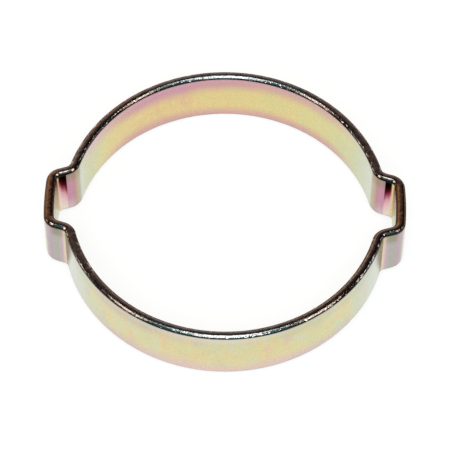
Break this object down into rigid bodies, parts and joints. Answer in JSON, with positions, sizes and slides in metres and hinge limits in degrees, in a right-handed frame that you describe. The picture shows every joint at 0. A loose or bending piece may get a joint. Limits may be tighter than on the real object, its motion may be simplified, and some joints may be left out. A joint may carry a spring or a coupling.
{
  "type": "two-ear hose clamp",
  "caption": "Closed steel band with opposite ears that pincers squeeze to tighten it round a hose.",
  "frame": {"origin": "on the hose's axis, in the plane of the band's lower rim", "axes": "+Z along the hose's axis, +X towards one ear, with the other ear on -X"},
  "size_m": [0.0546, 0.049, 0.0098],
  "materials": {
    "zinc_steel": "yellow zinc passivate over tumbled steel, iridescent"
  },
  "bodies": {
    "root": {"clamp_band": "zinc_steel"}
  },
  "joints": []
}
